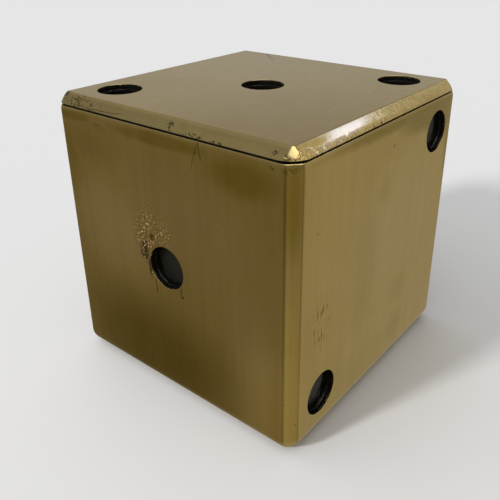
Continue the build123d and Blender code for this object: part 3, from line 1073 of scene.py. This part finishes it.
class Sky(Nodes):
    """A pale background, soft light from high on the left, and a warm room for the brass."""

    def __init__(self, tree):
        super().__init__(tree)
        tree.nodes.clear()
        self.direction = self.node("ShaderNodeTexCoord", output="Generated")

    def along(self, towards):
        """The cosine of the angle between a ray and this direction."""
        links = {0: self.direction, 1: Vector(towards).normalized()}
        return self.vector_math("DOT_PRODUCT", links, output="Value")

    def lit_towards(self, towards, start, end, first, second):
        """The first colour far from this direction, the second one close to it."""
        return self.blend(self.along(towards).rise(start, end), first, second)

    def window(self):
        """A leaning strip of bright window, as seen from the die's middle."""
        edge, slope_above, slope_below = 0.012, 0.62, 0.475
        ahead = Vector((0.355, 0.742, 0.569)).normalized()
        across = UP.cross(ahead).normalized()
        upward = ahead.cross(across)
        depth = self.along(ahead).at_least(0.05)
        side = self.along(across) / depth
        height = self.along(upward) / depth
        under_top = side * slope_above - height - 0.116
        over_foot = height - side * slope_below + 0.172
        return (under_top.rise(-edge, edge) * over_foot.rise(-edge, edge)
                * side.rise(-0.055, -0.035) * side.rise(0.23, 0.15))

    def room(self):
        """What the brass reflects: floor, walls, lamps and the window."""
        floor = self.lit_towards((0.57, 0.74, -0.3), -0.3, 0.9,
                                 (0.16, 0.130, 0.078, 1), (0.325, 0.28, 0.19, 1))
        walls = self.lit_towards(UP, 0.14, 0.42, (0.36, 0.335, 0.29, 1), (0.26, 0.228, 0.175, 1))
        walls = self.lit_towards((-0.3, 0.9, 0.2), -0.6, 0.9, (0.17, 0.150, 0.11, 1), walls)
        room = self.lit_towards(UP, -0.10, 0.10, floor, walls)
        for towards, start, end, glow in (
            ((-0.3, -0.5, 0.8), 0.70, 0.95, (0.30, 0.28, 0.22, 1)),
            ((0.42, 0.80, 0.43), 0.90, 0.98, (0.46, 0.405, 0.27, 1)),
            ((0.37, -0.17, 0.91), 0.80, 0.90, (1.7, 1.6, 1.45, 1)),
        ):
            room = self.lit_towards(towards, start, end, room, glow)
        return self.blend(self.window(), room, (1.25, 1.38, 2.4, 1))

    def background(self, colour):
        return self.node("ShaderNodeBackground", links={"Color": colour, "Strength": 1.0})

    def by_ray(self, kind, others, chosen):
        """Let this kind of ray see the chosen light and every other ray the others."""
        ray = self.node("ShaderNodeLightPath", output=kind)
        return self.node("ShaderNodeMixShader", links={0: ray, 1: others, 2: chosen})

    def finish(self):
        soft = self.lit_towards((-0.62, -0.48, 0.62), -0.2, 0.9,
                                (0.28, 0.28, 0.28, 1), (1.06, 1.06, 1.06, 1))
        plain = self.background((0.783, 0.783, 0.783, 1))
        light = self.by_ray("Is Camera Ray", self.background(soft), plain)
        light = self.by_ray("Is Glossy Ray", light, self.background(self.room()))
        output = self.tree.nodes.new("ShaderNodeOutputWorld")
        self.connect(light, output.inputs["Surface"])


# ---------------------------------------------------------------- operators

class DIE_OT_body_shell(bpy.types.Operator):
    """Build the brass walls with their facets, drawn rim and pip holes"""
    bl_idname = "die.body_shell"
    bl_label = "Brass walls"

    def execute(self, context):
        sizes = context.scene.die_sizes
        piece = die_outside("brass_walls", sizes)
        keep_side(piece, BASE_Z + sizes.edge_cut - PAN_STEP, True)
        thicken(piece, sizes.sheet)
        soften_rim(piece, RIM_Z, 0.65 * MM, 0.15 * MM)
        pierce_and_finish(piece, ("front", "right", "back", "left"), sizes)
        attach(piece, "body")
        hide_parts("body_shell")
        return {"FINISHED"}


class DIE_OT_base_pan(bpy.types.Operator):
    """Build the brass underside with its bevels and pip holes"""
    bl_idname = "die.base_pan"
    bl_label = "Brass underside"

    def execute(self, context):
        sizes = context.scene.die_sizes
        piece = die_outside("brass_underside", sizes)
        keep_side(piece, BASE_Z + sizes.edge_cut - PAN_STEP, False)
        thicken(piece, sizes.sheet)
        pierce_and_finish(piece, ("bottom",), sizes)
        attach(piece, "body")
        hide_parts("base_pan")
        return {"FINISHED"}


class DIE_OT_lid_shell(bpy.types.Operator):
    """Build the lid's brass with its swelling bevels and pip holes"""
    bl_idname = "die.lid_shell"
    bl_label = "Brass lid"

    def execute(self, context):
        sizes = context.scene.die_sizes
        piece = lid_outside("brass_lid", sizes)
        thicken(piece, sizes.sheet)
        flatten_rim(piece, SEAM_Z)
        soften_rim(piece, SEAM_Z, 0.2 * MM, 0.1 * MM)
        pierce_and_finish(piece, ("top",), sizes)
        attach(piece, "lid")
        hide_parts("lid_shell")
        return {"FINISHED"}


class DIE_OT_pip_cups(bpy.types.Operator):
    """Build one uneven black cup and set a copy behind every pip hole"""
    bl_idname = "die.pip_cups"
    bl_label = "Pip cups"

    def execute(self, context):
        sizes = context.scene.die_sizes
        cup = self.make_cup(sizes)
        golden_turn = math.pi * (3 - math.sqrt(5))
        for number, (face, node, centre) in enumerate(pip_places(FACE_CENTRES)):
            copy = bpy.data.objects.new(node + "_lined", cup.data.copy())
            context.scene.collection.objects.link(copy)
            place_on_face(copy, face, centre, number * golden_turn)
            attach(copy, "lid" if face == "top" else "body")
            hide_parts(node)
        bpy.data.objects.remove(cup)
        return {"FINISHED"}

    def make_cup(self, sizes):
        """A spun cup with a flange, a stepped wall and a flat floor; its face is at z = 0."""
        back = -sizes.sheet
        floor = -sizes.pip_depth
        wall_rings = [
            (11.6, 0.0), (12.15, 0.15), (12.45, 0.6), (12.5, 1.7), (12.55, 2.9),
            (12.7, 3.5), (13.05, 3.9), (13.12, 4.6),
        ]
        flange_rings = [
            (13.15, -0.35), (13.3, -0.02), (16.4, -0.02), (16.5, -0.5), (16.4, -1.0), (14.3, -1.0),
        ]
        under_rings = [(14.3, -0.9), (14.1, -1.0), (6.0, -1.0)]
        parts = ((floor, wall_rings), (back, flange_rings), (floor, under_rings))
        profile = [(radius * MM, start + height * MM)
                   for start, rings in parts for radius, height in rings]
        cup = extrude_rings("cup", (6.0 * MM, floor), profile, 72)

        with Editing(cup, "VERT") as edit:

            def on_wall(vert):
                radius = vert.co.xy.length
                return (12.3 * MM < radius < 13.14 * MM
                        and floor + 0.3 * MM < vert.co.z < back - 0.6 * MM)

            edit.pick(on_wall)
        group = cup.vertex_groups.new(name="wall")
        group.add([vert.index for vert in cup.data.vertices if vert.select], 1.0, "REPLACE")
        lumps = bpy.data.textures.new("lumps", "CLOUDS")
        lumps.noise_scale = 2.6 * MM
        apply_modifier(cup, "DISPLACE", texture=lumps, texture_coords="LOCAL", strength=0.42 * MM,
                       mid_level=0.6, vertex_group="wall")
        finish_faces(cup, reuse(pip_wall), reuse(pip_floor))
        with Editing(cup, "FACE") as edit:
            edit.pick(lambda f: f.normal.z > 0.9 and f.calc_center_median().xy.length < 11.8 * MM)
            cup.active_material_index = 1
            bpy.ops.object.material_slot_assign()
        smooth(cup, 50)
        return cup


class DIE_OT_feet(bpy.types.Operator):
    """Build one rubber foot and set a copy under each corner"""
    bl_idname = "die.feet"
    bl_label = "Rubber feet"

    def execute(self, context):
        low, high = (Vector(corner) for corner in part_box(FOOT_NODES[0]))
        radius = (high.x - low.x) / 2
        foot = add_cylinder("foot", radius, low.z, high.z, 48)
        with Editing(foot) as edit:
            edit.pick(lambda edge: turn_angle(edge) > 60)
            bpy.ops.mesh.bevel(offset=0.3 * MM, segments=3, affect="EDGES")
        finish_faces(foot, reuse(black_rubber))
        smooth(foot)
        for node in FOOT_NODES:
            low, high = (Vector(corner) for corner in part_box(node))
            centre = (low + high) / 2
            copy = bpy.data.objects.new(node + "_rubber", foot.data.copy())
            context.scene.collection.objects.link(copy)
            copy.location = (centre.x, centre.y, 0)
            settle(copy)
            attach(copy, "body")
            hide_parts(node)
        bpy.data.objects.remove(foot)
        return {"FINISHED"}


class DIE_OT_inner_finishes(bpy.types.Operator):
    """Give the pieces that keep their own shape their finishes"""
    bl_idname = "die.inner_finishes"
    bl_label = "Inner finishes"

    def execute(self, context):
        makers = {
            "bare_brass": bare_brass, "black_plastic": black_plastic,
            "liner_plastic": liner_plastic, "foam": bead_foam, "black_rubber": black_rubber,
            "screw_steel": zinc_screw, "lacquered_brass": lacquered_brass, "pip_black": pip_wall,
        }
        slots = {part["node"]: part["material_slot"] for part in frame["record"]["subparts"]}
        for node, piece in frame["nodes"].items():
            material = reuse(makers[slots[node]])
            if not piece.material_slots:
                piece.data.materials.append(material)
            for slot in piece.material_slots:
                slot.material = material
        return {"FINISHED"}


class DIE_OT_stage(bpy.types.Operator):
    """Set up the floor, the soft light and the camera"""
    bl_idname = "die.stage"
    bl_label = "Stage"

    def execute(self, context):
        self.add_floor()
        self.set_sky(context.scene)
        self.add_sun()
        self.add_camera(context.scene)
        context.scene.view_settings.view_transform = "Standard"
        return {"FINISHED"}

    def add_floor(self):
        deselect_all()
        bpy.ops.mesh.primitive_plane_add(size=60, location=(0, 0, 0))
        floor = bpy.context.object
        floor.name = "floor"
        s = Surface("floor")
        s.set(Base_Color=(0.77, 0.77, 0.77, 1), Roughness=1.0, Specular_IOR_Level=0.0)
        finish_faces(floor, s.material)
        floor.visible_glossy = False

    def set_sky(self, scene):
        scene.world = bpy.data.worlds.new("room")
        scene.world.use_nodes = True
        Sky(scene.world.node_tree).finish()

    def add_sun(self):
        """A broad sun from the front left, which only the floor and the dull black feel."""
        deselect_all()
        direction = Vector((-0.28, -0.80, 0.47)).normalized()
        bpy.ops.object.light_add(type="SUN", location=direction * 2)
        sun = bpy.context.object
        sun.name = "key"
        sun.rotation_euler = direction.to_track_quat("Z", "Y").to_euler()
        sun.data.energy = 1.9
        sun.data.angle = math.radians(8)
        sun.visible_glossy = False

    def add_camera(self, scene):
        """The camera stands a little over two die sides away, above the front right edge."""
        side = TOP_Z - BASE_Z
        azimuth = math.radians(38.57)
        elevation = math.radians(24.42)
        roll = math.radians(-0.33)
        distance = 2.292 * side
        back = Vector((math.sin(azimuth) * math.cos(elevation),
                       -math.cos(azimuth) * math.cos(elevation), math.sin(elevation)))
        level_right = Vector((math.cos(azimuth), math.sin(azimuth), 0))
        level_up = back.cross(level_right)
        right = level_right * math.cos(roll) + level_up * math.sin(roll)
        up = level_up * math.cos(roll) - level_right * math.sin(roll)
        aside, above = -0.0052 * side, 0.040 * side
        target = Vector((0, 0, MIDDLE_Z)) + right * aside + up * above
        deselect_all()
        bpy.ops.object.camera_add(location=target + back * distance)
        camera = bpy.context.object
        turn = Matrix((right, up, back)).transposed()
        camera.rotation_euler = turn.to_euler()
        camera.data.sensor_width = 36.0
        camera.data.lens = 43.54
        camera.data.shift_x = -0.024
        camera.data.shift_y = -0.090
        camera.data.clip_start = 0.01
        camera.data.clip_end = 200
        scene.camera = camera


class DIE_PT_panel(bpy.types.Panel):
    """Sizes, colours and builders of the die bucket"""
    bl_idname = "DIE_PT_panel"
    bl_label = "Die bucket"
    bl_space_type = "VIEW_3D"
    bl_region_type = "UI"
    bl_category = "Die bucket"

    def draw(self, context):
        layout = self.layout
        for group in (context.scene.die_sizes, context.scene.die_finish):
            box = layout.box()
            for name in group.__annotations__:
                box.prop(group, name)
        for builder in BUILDERS:
            layout.operator(builder.bl_idname)


BUILDERS = (
    DIE_OT_inner_finishes, DIE_OT_body_shell, DIE_OT_base_pan, DIE_OT_lid_shell,
    DIE_OT_pip_cups, DIE_OT_feet, DIE_OT_stage,
)
CLASSES = (DieSizes, DieFinish) + BUILDERS + (DIE_PT_panel,)


def register():
    for cls in CLASSES:
        bpy.utils.register_class(cls)
    bpy.types.Scene.die_sizes = bpy.props.PointerProperty(type=DieSizes)
    bpy.types.Scene.die_finish = bpy.props.PointerProperty(type=DieFinish)


def unregister():
    del bpy.types.Scene.die_finish
    del bpy.types.Scene.die_sizes
    for cls in reversed(CLASSES):
        bpy.utils.unregister_class(cls)


def main():
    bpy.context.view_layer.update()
    register()
    bpy.ops.die.inner_finishes()
    bpy.ops.die.body_shell()
    bpy.ops.die.base_pan()
    bpy.ops.die.lid_shell()
    bpy.ops.die.pip_cups()
    bpy.ops.die.feet()
    bpy.ops.die.stage()


if __name__ == "__main__":
    main()
